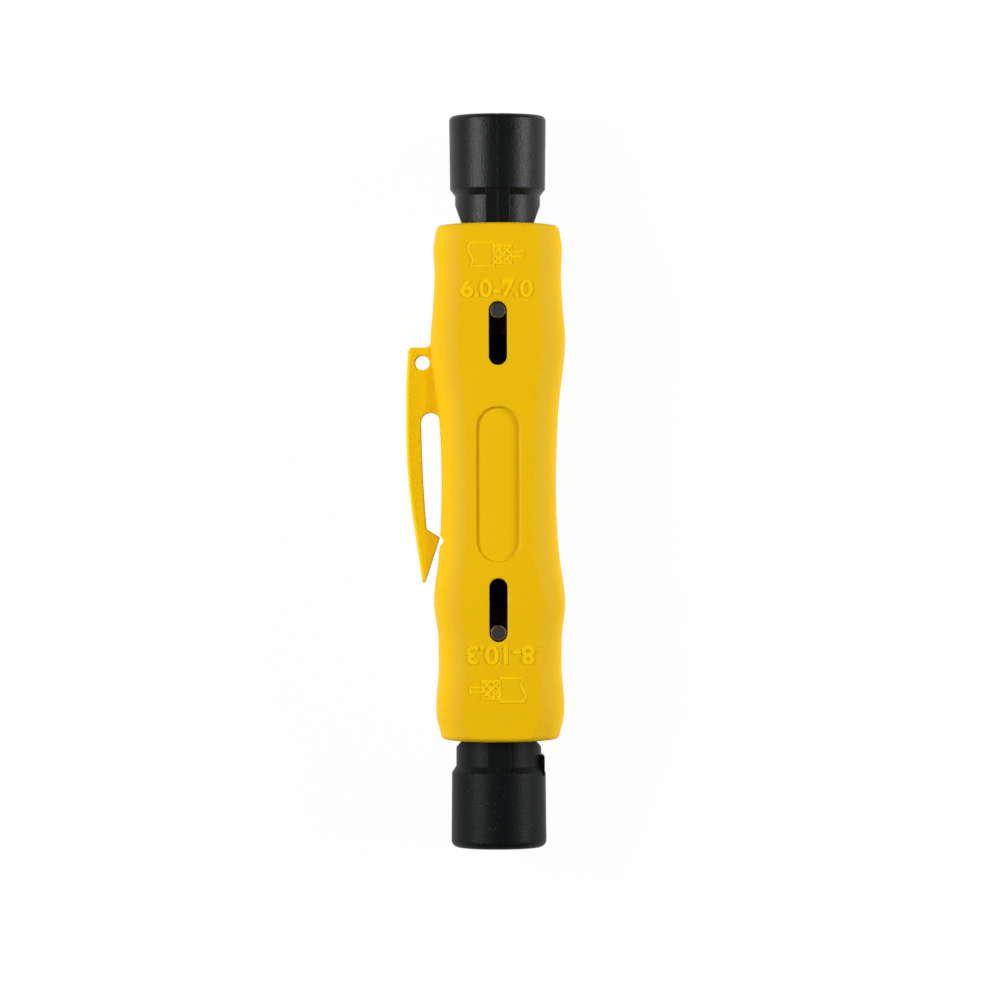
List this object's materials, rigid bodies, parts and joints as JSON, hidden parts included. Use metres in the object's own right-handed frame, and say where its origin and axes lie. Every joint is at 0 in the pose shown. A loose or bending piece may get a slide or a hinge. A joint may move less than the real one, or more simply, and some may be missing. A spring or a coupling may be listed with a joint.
{
  "type": "coaxial cable stripper",
  "caption": "Two-ended pocket coaxial cable stripper: waisted housing with belt clip, and a sprung split head with blades at each end.",
  "frame": {"origin": "flat back of the housing, under the middle of the tool", "axes": "+Y along the tool towards the small head, +Z from the flat back up to the thumb recess, +X to the side opposite the belt clip"},
  "size_m": [0.0272, 0.1251, 0.0204],
  "materials": {
    "yellow_abs": "satin",
    "black_nylon": "satin",
    "pin_steel": "satin",
    "blade_steel": "polished",
    "spring_wire": "satin"
  },
  "bodies": {
    "housing": {"housing": "yellow_abs", "small_head_spring": "spring_wire", "large_head_spring": "spring_wire"},
    "small_carriage": {"small_head_pivot_pin": "pin_steel"},
    "small_blade_side": {"small_head_blade_jaw": "black_nylon", "small_head_blade_cassette": "black_nylon", "small_head_jacket_blade": "blade_steel", "small_head_core_blade": "blade_steel"},
    "small_support_side": {"small_head_support_jaw": "black_nylon"},
    "small_pusher": {"small_head_plunger": "black_nylon"},
    "large_carriage": {"large_head_pivot_pin": "pin_steel"},
    "large_blade_side": {"large_head_blade_jaw": "black_nylon", "large_head_blade_cassette": "black_nylon", "large_head_jacket_blade": "blade_steel", "large_head_core_blade": "blade_steel"},
    "large_support_side": {"large_head_support_jaw": "black_nylon"},
    "large_pusher": {"large_head_plunger": "black_nylon"}
  },
  "joints": [
    {"name": "small_head_push", "type": "slide", "parent": "housing", "child": "small_carriage", "axis": [0, -1, 0], "range_m": [0, 0.0075], "stiffness_N_per_m": 800, "springref_m": -0.006},
    {"name": "small_blade_jaw_hinge", "type": "hinge", "parent": "small_carriage", "child": "small_blade_side", "pos_m": [0, 0.0291, 0.0102], "axis": [0, 0, 1], "range_deg": [0, 1.65]},
    {"name": "small_support_jaw_hinge", "type": "hinge", "parent": "small_carriage", "child": "small_support_side", "pos_m": [0, 0.0291, 0.0102], "axis": [0, 0, -1], "range_deg": [0, 1.65]},
    {"name": "small_plunger_slide", "type": "slide", "parent": "housing", "child": "small_pusher", "axis": [0, -1, 0], "range_m": [0, 0.00795], "deforming": ["small_head_spring"]},
    {"name": "large_head_push", "type": "slide", "parent": "housing", "child": "large_carriage", "axis": [0, 1, 0], "range_m": [0, 0.0075], "stiffness_N_per_m": 800, "springref_m": -0.006},
    {"name": "large_blade_jaw_hinge", "type": "hinge", "parent": "large_carriage", "child": "large_blade_side", "pos_m": [0, -0.0255, 0.0102], "axis": [0, 0, 1], "range_deg": [0, 1.65]},
    {"name": "large_support_jaw_hinge", "type": "hinge", "parent": "large_carriage", "child": "large_support_side", "pos_m": [0, -0.0255, 0.0102], "axis": [0, 0, -1], "range_deg": [0, 1.65]},
    {"name": "large_plunger_slide", "type": "slide", "parent": "housing", "child": "large_pusher", "axis": [0, 1, 0], "range_m": [0, 0.00795], "deforming": ["large_head_spring"]}
  ],
  "couplings": [
    {"joint": "small_blade_jaw_hinge", "follows": "small_head_push", "rad_per_m": 3.685},
    {"joint": "small_support_jaw_hinge", "follows": "small_head_push", "rad_per_m": 3.685},
    {"joint": "small_plunger_slide", "follows": "small_head_push", "ratio": 1.0575},
    {"joint": "large_blade_jaw_hinge", "follows": "large_head_push", "rad_per_m": 3.4907},
    {"joint": "large_support_jaw_hinge", "follows": "large_head_push", "rad_per_m": 3.4907},
    {"joint": "large_plunger_slide", "follows": "large_head_push", "ratio": 1.0562}
  ]
}
